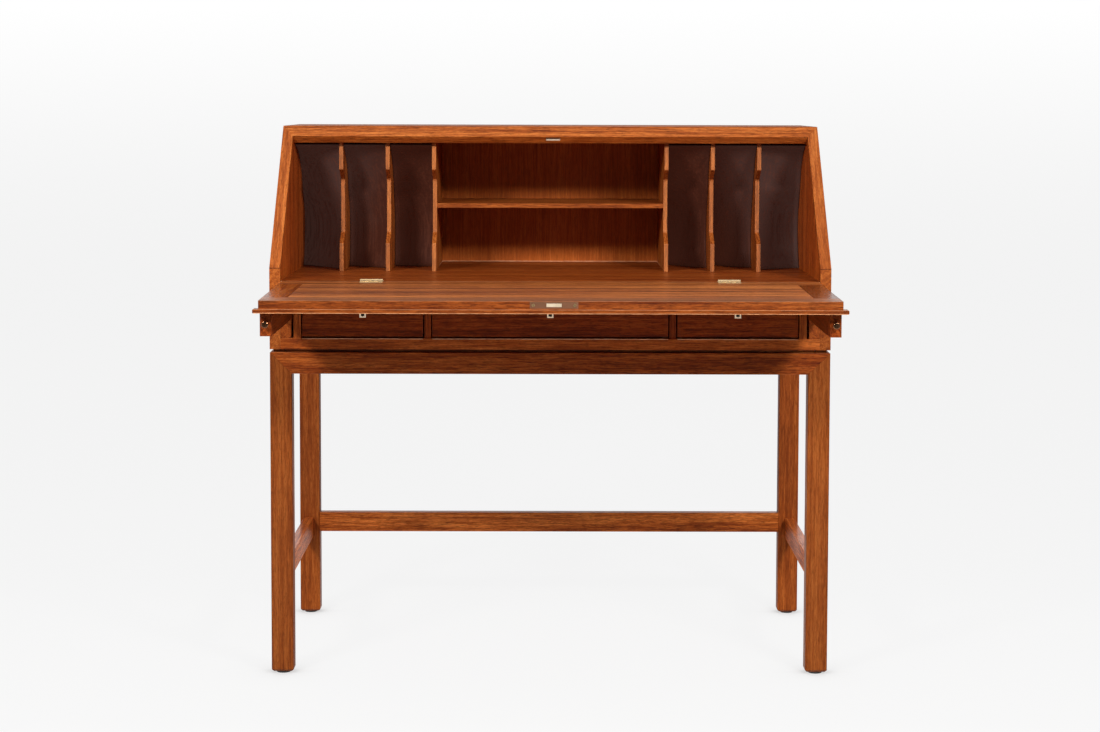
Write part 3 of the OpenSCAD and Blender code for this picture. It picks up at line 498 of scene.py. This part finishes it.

# Each CAD board gets teak of its own. A pair is two boards in one node; dim is how light the one on the
# right is; the front share and the upward share paint its front edge and its upward face paler, a painted
# highlight and a painted sheen; streak is the strength of its broad streaks
boards = {
    "leg_front_left": {"grain": "z", "seed": 11, "tone": 0.66, "contrast": 0.7, "red": 0.12},
    "leg_front_right": {"grain": "z", "seed": 12, "tone": 0.70, "contrast": 0.7, "red": 0.12},
    "leg_back_left": {"grain": "z", "seed": 13, "tone": 0.92, "contrast": 0.7, "red": 0.12},
    "leg_back_right": {"grain": "z", "seed": 14, "tone": 1.06, "contrast": 0.7, "red": 0.12},
    "base_rail_front": {"grain": "x", "seed": 15, "tone": 0.94, "red": 0.35},
    "base_rail_back": {"grain": "x", "seed": 16, "tone": 0.88, "red": 0.3},
    "base_rail_left": {"grain": "y", "seed": 17, "tone": 0.88, "red": 0.2},
    "base_rail_right": {"grain": "y", "seed": 18, "tone": 0.88, "red": 0.2},
    # the stretchers are painted lighter, standing in for the light and the sheen that fall on them
    "stretcher_left": {"grain": "y", "seed": 19, "tone": 1.9, "polish": 1.0, "filmRough": 0.22},
    "stretcher_right": {"grain": "y", "seed": 20, "tone": 1.9, "polish": 1.0, "filmRough": 0.22},
    "stretcher_back": {"grain": "x", "seed": 21, "tone": 1.36, "polish": 0.8},
    # the spacers in the shadow gap are painted dark, a painted shade for the recess
    "case_spacers": {"grain": "x", "seed": 22, "tone": 0.35},
    "side_left": {"grain": "z", "seed": 23, "tone": 1.08, "red": 0.55},
    "side_right": {"grain": "z", "seed": 24, "tone": 1.08, "red": 0.55},
    "top_board": {"grain": "x", "seed": 25, "tone": 1.06},
    "stop_rail": {"grain": "x", "seed": 26, "tone": 1.02},
    "deck": {"grain": "x", "seed": 27, "tone": 0.74, "red": 0.45, "polish": 0.14, "filmRough": 0.12,
             "lines": deckLines},
    "case_bottom": {"grain": "x", "seed": 28, "tone": 1.08, "red": 0.25, "lines": bottomLines},
    "back_panel": {"grain": "z", "seed": 29, "tone": 1.20, "red": 0.1, "contrast": 0.45,
                   "lines": footLines},
    "loper_post_left": {"grain": "z", "seed": 30, "tone": 0.9, "red": 0.4},
    "loper_post_right": {"grain": "z", "seed": 31, "tone": 0.9, "red": 0.4},
    "drawer_partition_left": {"grain": "z", "seed": 32, "tone": 0.7, "red": 0.8},
    "drawer_partition_right": {"grain": "z", "seed": 33, "tone": 0.7, "red": 0.8},
    "loper_bearer_left": {"grain": "y", "seed": 34, "tone": 0.95, "red": 0.3},
    "loper_bearer_right": {"grain": "y", "seed": 35, "tone": 0.95, "red": 0.3},
    "inner_dividers": {"grain": "z", "seed": 36, "tone": 0.92, "pair": True, "front": 0.18,
                       "lines": footLines},
    "middle_dividers": {"grain": "z", "seed": 37, "tone": 0.92, "pair": True, "front": 0.18},
    "outer_dividers": {"grain": "z", "seed": 38, "tone": 0.92, "pair": True, "front": 0.18},
    "shelf": {"grain": "x", "seed": 39, "tone": 0.92},
    "flap_panel": {"grain": "x", "seed": 40, "tone": 1.34, "contrast": 1.35, "worn": 0.11,
                   "streak": 0.42, "polish": 1.0, "filmRough": 0.32},
    "flap_front_rail": {"grain": "x", "seed": 41, "tone": 0.74, "red": 0.2, "worn": 0.18,
                        "polish": 1.0, "filmRough": 0.32, "lines": flapLines},
    "flap_back_rail": {"grain": "x", "seed": 42, "tone": 1.08, "contrast": 1.35, "worn": 0.06,
                       "streak": 0.3, "polish": 0.8, "filmRough": 0.30},
    "flap_ends": {"grain": "y", "seed": 43, "tone": 0.98, "contrast": 1.3, "pair": True,
                  "dim": 0.42, "polish": 0.95, "filmRough": 0.20, "lines": seamLines},
    "loper_left": {"grain": "y", "seed": 44, "tone": 0.74, "red": 0.6},
    "loper_right": {"grain": "y", "seed": 45, "tone": 0.72, "red": 0.6},
    "drawer_left_front": {"grain": "x", "seed": 46, "tone": 0.64, "red": 0.9},
    "drawer_centre_front": {"grain": "x", "seed": 46, "tone": 0.64, "red": 0.9},
    "drawer_right_front": {"grain": "x", "seed": 46, "tone": 0.64, "red": 0.9},
}
lippings = {  # the strip along the slanted front edge of each side
    "side_left": {"seed": 71, "tone": 1.04, "contrast": 0.8},
    "side_right": {"seed": 72, "tone": 0.94, "contrast": 0.8},
}
for lipping in lippings.values():
    lipping.update({"wide": 12 * mm, "knee": deckTop + 24.5 * mm})


def dress(names, material):
    for name in names.split():
        data = nodes[name].data
        data.materials.clear()
        data.materials.append(material)


for name, board in boards.items():
    dress(name, teakMaterial("teak_" + name, board, lippings.get(name)))
for side in ("left", "centre", "right"):
    dress(f"drawer_{side}_sides", drawerWoodMaterial(f"drawer_side_wood_{side}", "y", 51))
    dress(f"drawer_{side}_back", drawerWoodMaterial(f"drawer_back_wood_{side}", "x", 52))
    dress(f"drawer_{side}_bottom", drawerWoodMaterial(f"drawer_bottom_wood_{side}", "x", 53))
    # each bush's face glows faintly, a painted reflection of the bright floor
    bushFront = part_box(f"drawer_{side}_lock")[0].y
    # its keyhole's recess is painted in shade
    recess = ("y", bushFront + 0.3 * mm, bushFront + 12 * mm)
    bush = brassMaterial(f"bush_brass_{side}", 61, 1.2, 0.03, "x", 0.45, recess, dull=0.85, pale=0.65,
                         paintedGlint=0.30)
    dress(f"drawer_{side}_lock", bush)
# the hinge's joint is painted in shade
hingeJoint = ("z", hingeAxis[1] + 0.1 * mm, hingeAxis[1] + 1.2 * mm)
hingeBrass = brassMaterial("hinge_brass", 62, 0.95, 0.15, "x", 0.50, hingeJoint, dull=0.40, pale=0.12)
lockBrass = brassMaterial("lock_plate_brass", 64, 0.3, 0.4, "x", 0.45, dull=0.35, skin=0.85)
dress("hinge_case_leaves hinge_flap_leaves", hingeBrass)
dress("hinge_pins", brassMaterial("pin_brass", 63, 0.35, 0.6, "x", 0.4))
dress("flap_lock", lockBrass)
dress("flap_bolt", brassMaterial("bolt_brass", 65, 0.85, 0.08, "x", 0.40, dull=0.5, pale=0.6))
dress("strike_plate", brassMaterial("strike_brass", 66, 1.1, 0.1, "x", 0.40, dull=0.5, pale=0.8))
knobBrass = brassMaterial("knob_brass", 67, 1.0, 0.10, "y", 0.08, skin=0.85)
dress("loper_knob_left loper_knob_right", knobBrass)
screwBrass = brassMaterial("screw_brass", 68, 0.62, 0.35, "x", 0.35)
# the CAD's sheets get the same dark finish: sheets that stand in for the shade at the back of the
# pigeonholes
dress("letter_sheets", shadeCardMaterial("painted_shade_card_flat"))
dress("foot_glides", glideMaterial("glide_black"))
print("nodes dressed")


# How much of each edge is rounded off, and how the names of the pieces begin that it goes for
eases = [
    (0.45 * mm, ("side_", "top_board", "flap_ends")),  # joined to their neighbours
    (0.25 * mm, ("case_bottom", "stop_rail", "flap_panel", "flap_back", "loper_post", "shelf",
                 "inner_d", "middle_d", "outer_d")),  # glued in between others
    (1.1 * mm, ("deck", "flap_front_rail", "loper_bearer")),  # worn by hands
    (0.5 * mm, ("drawer_left_front", "drawer_centre_front", "drawer_right_front")),
    (0.2 * mm, ("drawer_left_lock", "drawer_centre_lock", "drawer_right_lock", "flap_lock", "flap_bolt",
                "hinge_", "loper_knob", "strike_plate", "letter_sheets", "foot_glides")),
    (0.7 * mm, ("",)),  # all the others
]
easeAngle = math.radians(40)  # only edges sharper than this


def easeEdges(thing, width):
    weld = thing.modifiers.new("weld", "WELD")
    weld.merge_threshold = 0.01 * mm
    ease = thing.modifiers.new("ease", "BEVEL")
    ease.width = width
    ease.segments = 2
    ease.limit_method = "ANGLE"
    ease.angle_limit = easeAngle


for name, thing in nodes.items():
    easeEdges(thing, next(width for width, starts in eases if name.startswith(starts)))
print("edges eased")


def newThing(name, made, material, smooth):
    # turns a bmesh into an object of one material
    data = bpy.data.meshes.new(name)
    made.to_mesh(data)
    made.free()
    for face in data.polygons:
        face.use_smooth = smooth
    data.materials.append(material)
    thing = bpy.data.objects.new(name, data)
    bpy.context.scene.collection.objects.link(thing)
    return thing


def addMesh(name, made, material, body, smooth=False):
    # the same for a piece that rides on a body
    bmesh.ops.recalc_face_normals(made, faces=made.faces)
    thing = newThing(name, made, material, smooth)
    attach(thing, body)
    return thing


# Dark sheets, put where there is only the deep shade at the back of the pigeonholes, stand across them
# and curl forward above
sheet = {
    "height": 252 * mm,
    "topDepth": 263 * mm,
    "thick": 1.7 * mm,
    "foldWide": 9 * mm,  # along the edge nearer to the desk's end
    "foldDeep": 8 * mm,
    "foldColumns": 3,
    "bulgeHeight": 160 * mm,
    "curl": 60,  # degrees; more for a sheet that starts to curl higher up
    "gap": 0.4 * mm,  # to the deck and to the walls
    "wall": 8 * mm,  # the dividers' thickness
    "rows": 44,
    "columns": 26,
}
# depth at the left and right walls, bow, start of the curl and bulge below it, in millimetres
sheetShapes = [
    (421, 306, -3, 100, 27),
    (405, 320, -4, 60, 10),
    (407, 372, -4, 60, 10),
    (453, 358, 6, 20, 25),
    (456, 376, 20, 20, 10),
    (310, 358, -4, 100, 27),
]


def sheetRow(shape, share):
    # height above the deck and angle of curl at a share of the way up the sheet
    start = shape[3] * mm
    turn = math.radians(sheet["curl"] + shape[3] / 4)
    radius = (sheet["height"] - start) / math.sin(turn)
    run = share * (start + radius * turn)
    if run <= start:
        return run, 0.0, turn
    angle = (run - start) / radius
    return start + radius * math.sin(angle), angle, turn


def sheetPoint(shape, share, up, fold):
    # depth behind the case's front plane and height above the deck, at shares of the width and the way up
    rise, angle, turn = sheetRow(shape, up)
    foot = (shape[0] + (shape[1] - shape[0]) * share - 4 * shape[2] * share * (1 - share)) * mm
    full = foot + shape[4] * mm * math.sin(math.pi * min(rise / sheet["bulgeHeight"], 1))
    curled = (1 - math.cos(angle)) / (1 - math.cos(turn))
    return full - (full - sheet["topDepth"]) * curled - fold * (1 - angle / turn), rise


def sheetInward(column, wide):
    # how far in from the folded edge a column of points stands
    fold, bends = sheet["foldWide"], sheet["foldColumns"]
    if column < bends:
        return fold * column / bends
    return fold + (wide - fold) * (column - bends) / (sheet["columns"] - bends)


def pigeonholes():
    # the walls of the six pigeonholes, from left to right
    lows = [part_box(name)[0].x for name in ("outer_dividers", "middle_dividers", "inner_dividers")]
    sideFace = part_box("side_right")[0].x
    slots = [(-sideFace, lows[0])] + [(lows[i] + sheet["wall"], lows[i + 1]) for i in (0, 1)]
    return slots + [(-right, -left) for left, right in reversed(slots)]


def makeShadeSheets():
    made = bmesh.new()
    rows, columns = sheet["rows"], sheet["columns"]
    for shape, (left, right) in zip(sheetShapes, pigeonholes()):
        left, right = left + sheet["gap"], right - sheet["gap"]
        wide = right - left
        foldLeft = right < 0
        grid = []
        for i in range(rows + 1):
            line = []
            for j in range(columns + 1):
                inward = sheetInward(j, wide)
                bend = sheet["foldDeep"] * max(0.0, 1 - inward / sheet["foldWide"])
                x = left + inward if foldLeft else right - inward
                y, z = sheetPoint(shape, (x - left) / wide, i / rows, bend)
                line.append(made.verts.new((x, caseFront + y, deckTop + sheet["gap"] + z)))
            grid.append(line)
        for one, two in zip(grid, grid[1:]):
            for j in range(columns):
                made.faces.new((one[j], one[j + 1], two[j + 1], two[j]))
    thing = addMesh("painted_shade_sheets", made, shadeCardMaterial("painted_shade_card"), "case", True)
    solid = thing.modifiers.new("thickness", "SOLIDIFY")
    solid.thickness = sheet["thick"]
    solid.offset = -1
    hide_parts("letter_sheets")


makeShadeSheets()
print("sheets made")

screw = {
    "radius": 2.9 * mm,
    "slotWide": 0.8 * mm,
    "slotDeep": 0.45 * mm,
    "proud": 0.15 * mm,
    "sink": 0.25 * mm,
    "sides": 20,
    "hingeSteps": (-14 * mm, 0, 14 * mm),  # along a leaf
    "hingeOut": 13 * mm,  # from the hinge's axis
    "leafHalf": 21.5 * mm,  # from a leaf's middle to its end
    "leafDown": 1.5 * mm,  # from the hinge's axis to the open fall front's upper face
    "plateSteps": (-36 * mm, 36 * mm),
    "plateDown": 8.8 * mm,
    "lockCorner": (18 * mm, 11 * mm),
}


def addScrew(made, turn, centre):
    # one slotted head; turn is a matrix whose third column points out of the surface
    def prism(outline, low, high):
        ends = []
        for z in (low, high):
            ends.append([made.verts.new(centre + turn @ Vector((x, y, z))) for x, y in outline])
        made.faces.new(ends[0][::-1])
        made.faces.new(ends[1])
        for i in range(len(outline)):
            k = (i + 1) % len(outline)
            made.faces.new((ends[0][i], ends[0][k], ends[1][k], ends[1][i]))

    radius, sides, top = screw["radius"], screw["sides"], screw["proud"]
    floor = top - screw["slotDeep"]
    around = [2 * math.pi * i / sides for i in range(sides)]
    prism([(radius * math.cos(a), radius * math.sin(a)) for a in around], floor - screw["sink"], floor)
    start = math.asin(screw["slotWide"] / 2 / radius)
    for side in (1, -1):
        half = [start + (math.pi - 2 * start) * i / (sides // 2) for i in range(sides // 2 + 1)]
        prism([(side * radius * math.cos(a), side * radius * math.sin(a)) for a in half], floor, top)


def makeScrews(name, body, places, turn):
    # several screws in one surface, each slot left at an angle of its own
    dice = random.Random(name)
    made = bmesh.new()
    for place in places:
        spin = Matrix.Rotation(dice.uniform(0, math.pi), 3, "Z")
        addScrew(made, turn @ spin, Vector(place))
    addMesh(name, made, screwBrass, body)


flapCos, flapSin = math.cos(flapTilt), math.sin(flapTilt)


def onFlap(x, out, above):
    # a place on the open fall front, measured from the hinge's axis
    y = hingeAxis[0] - out * flapCos - above * flapSin
    return x, y, hingeAxis[1] - out * flapSin + above * flapCos


alongX = Vector((1, 0, 0))
facingUp = Matrix.Identity(3)
facingBack = Matrix((alongX, (0, 0, -1), (0, 1, 0))).transposed()
flapUp = Matrix((alongX, (0, flapCos, flapSin), (0, -flapSin, flapCos))).transposed()
flapOut = Matrix((alongX, (0, -flapSin, flapCos), (0, -flapCos, -flapSin))).transposed()
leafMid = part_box("hinge_case_leaves")[1].x - screw["leafHalf"]
hingeScrews = [side * leafMid + step for side in (-1, 1) for step in screw["hingeSteps"]]
makeScrews("hinge_case_screws", "case",
           [(x, hingeAxis[0] + screw["hingeOut"], deckTop) for x in hingeScrews], facingUp)
makeScrews("hinge_flap_screws", "flap",
           [onFlap(x, screw["hingeOut"], -screw["leafDown"]) for x in hingeScrews], flapUp)
plateMid = sum(corner.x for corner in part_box("flap_lock")) / 2
makeScrews("lock_plate_screws", "flap",
           [onFlap(plateMid + x, flapReach, -screw["plateDown"]) for x in screw["plateSteps"]], flapOut)
for side in ("left", "centre", "right"):
    low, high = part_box(f"drawer_{side}_lock")
    middle = (low + high) / 2
    wide, tall = screw["lockCorner"]
    corners = [(middle.x + x, high.y, middle.z + z) for x in (-wide, wide) for z in (-tall, tall)]
    makeScrews(f"drawer_{side}_screws", f"drawer_{side}", corners, facingBack)
print("screws made")


# Floor, backdrop, lights and camera
studio = {
    "floorTone": 0.55,
    "whiteShare": 0.90,  # how much of the white the camera sees comes from its own glow
    "floorWhite": 0.985,
    "wallWhite": 1.15,
    "fadeHeight": 2.7,  # the wall is whitest from this height up
    "fadeFrom": (5.5, 16.0),  # and the floor's far ends turn as white between these distances
    "glowFront": -2.0,  # nearer than this the floor gives no light to reflections
    "glossyShare": 0.7,
    "contact": 0.35,  # painted contact shade: how dark the floor's glow is painted right under a foot
    "contactReach": 0.12,
    "contactRange": (0.45, 0.95),
    "sweepFront": -12.0,
    "sweepStart": 8.0,  # where the floor begins to curve up
    "sweepRadius": 4.0,
    "sweepSteps": 16,
    "sweepTop": 18.0,
    "sweepHalf": 24,  # half its width
    "ambient": 0.12,
    "airColour": (0.98, 0.99, 1.0, 1),
    "lampColour": (1.0, 0.985, 0.97),
}
lamps = {  # place, target, size and power of each soft light
    "soft_left": ((-1.66, -2.3, 2.05), (0, 0, 0.75), (0.6, 0.4), 62),
    "soft_right": ((1.45, -2.3, 2.05), (0, 0, 0.75), (0.6, 0.4), 62),
    "soft_top": ((0, -0.8, 4.2), (0, -0.1, 0), (2.4, 2.0), 27),
}


def studioMaterial():
    # white for the camera and for reflections; it keeps plain shadows where something stands on it, and a
    # painted contact shade right under a foot
    material, shader, place = newMaterial("studio_white")
    feed(shader, BaseColor=(studio["floorTone"],) * 3 + (1,), Roughness=0.9, SpecularIORLevel=0.1)
    x, y, z = place.parts()
    far = x.size().most(0 - y).ease(*studio["fadeFrom"], 0.0, studio["fadeHeight"])
    rise = z.most(far).ease(0.0, studio["fadeHeight"], studio["floorWhite"], studio["wallWhite"])
    path = place.node("ShaderNodeLightPath").socket.node
    seen = Wire(place.tree, path.outputs["Is Camera Ray"])
    glossy = Wire(place.tree, path.outputs["Is Glossy Ray"])
    behind = y.above(studio["glowFront"])
    # painted contact shade: the floor's glow is dimmed where something stands close
    reach = {"Distance": studio["contactReach"]}
    near = place.node("ShaderNodeAmbientOcclusion", {"samples": 8}, reach, out="AO")
    contact = near.ease(*studio["contactRange"], 1 - studio["contact"], 1.0)
    share = (seen * contact + glossy * behind * studio["glossyShare"]).least(1.0) * studio["whiteShare"]
    glow = place.node("ShaderNodeEmission", {}, {"Color": (1, 1, 1, 1), "Strength": rise})
    body = Wire(place.tree, shader.outputs["BSDF"])
    mixed = place.node("ShaderNodeMixShader", {}, {0: share, 1: body, 2: glow})
    output = next(n for n in place.tree.nodes if n.type == "OUTPUT_MATERIAL")
    place.tree.links.new(mixed.socket, output.inputs["Surface"])
    return material


def makeSweep():
    # a floor that curves up into a backdrop
    bend, radius, steps = studio["sweepStart"], studio["sweepRadius"], studio["sweepSteps"]
    points = [(studio["sweepFront"], 0.0), (bend, 0.0)]
    for step in range(1, steps + 1):
        turn = math.pi / 2 * step / steps
        points.append((bend + radius * math.sin(turn), radius * (1 - math.cos(turn))))
    points.append((bend + radius, studio["sweepTop"]))
    made = bmesh.new()
    half = studio["sweepHalf"]
    rows = [[made.verts.new((x, y, z)) for x in (-half, half)] for y, z in points]
    for one, two in zip(rows, rows[1:]):
        made.faces.new((one[0], one[1], two[1], two[0]))
    thing = newThing("sweep", made, studioMaterial(), True)
    thing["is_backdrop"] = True


def makeLight(name, place, target, size, power):
    lamp = bpy.data.lights.new(name, "AREA")
    lamp.shape = "RECTANGLE"
    lamp.size, lamp.size_y = size
    lamp.energy = power
    lamp.color = studio["lampColour"]
    thing = bpy.data.objects.new(name, lamp)
    thing.location = place
    thing.rotation_mode = "QUATERNION"
    thing.rotation_quaternion = (Vector(target) - Vector(place)).to_track_quat("-Z", "Y")
    thing.visible_camera = False
    bpy.context.scene.collection.objects.link(thing)


def makeWorld():
    # dim studio air that the camera sees as white
    world = bpy.data.worlds.new("studio")
    world.use_nodes = True
    bpy.context.scene.world = world
    tree = world.node_tree
    air = tree.nodes["Background"]
    air.inputs["Color"].default_value = studio["airColour"]
    air.inputs["Strength"].default_value = studio["ambient"]
    start = Wire(tree, air.outputs[0])
    path = start.node("ShaderNodeLightPath")
    white = start.node("ShaderNodeBackground", {}, {"Color": (1, 1, 1, 1), "Strength": 1.0})
    mixed = start.node("ShaderNodeMixShader", {}, {0: path, 1: start, 2: white})
    tree.links.new(mixed.socket, tree.nodes["World Output"].inputs["Surface"])


makeSweep()
for name, lamp in lamps.items():
    makeLight(name, *lamp)
makeWorld()

view = {  # solved from the photograph's straight edges
    "lens": 72.0,
    "sensor": 36.0,
    "farClip": 60,
    "shiftY": -0.10184,
    "place": (-0.01168, -4.135, 1.09048),  # from the middle of the case's front plane
    "pitch": 3.97,
    "roll": 0.14,
    "yaw": -0.15,
}


def makeCamera():
    lens = bpy.data.cameras.new("camera")
    lens.lens = view["lens"]
    lens.sensor_width = view["sensor"]
    lens.shift_y = view["shiftY"]
    lens.clip_end = view["farClip"]
    thing = bpy.data.objects.new("camera", lens)
    bpy.context.scene.collection.objects.link(thing)
    pitch, roll, yaw = (math.radians(view[k]) for k in ("pitch", "roll", "yaw"))
    spin = Matrix.Rotation(yaw, 3, "Z")
    forward = spin @ Vector((0, math.cos(pitch), -math.sin(pitch)))
    right = spin @ Vector((1, 0, 0))
    up = right.cross(forward)
    tiltedRight = math.cos(roll) * right + math.sin(roll) * up
    tiltedUp = -math.sin(roll) * right + math.cos(roll) * up
    turn = Matrix((tiltedRight, tiltedUp, -forward)).transposed()
    x, y, z = view["place"]
    thing.matrix_world = Matrix.Translation((x, y + caseFront, z)) @ turn.to_4x4()
    bpy.context.scene.camera = thing


makeCamera()
bpy.context.scene.view_settings.view_transform = "Standard"
print("studio ready")

low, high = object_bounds()
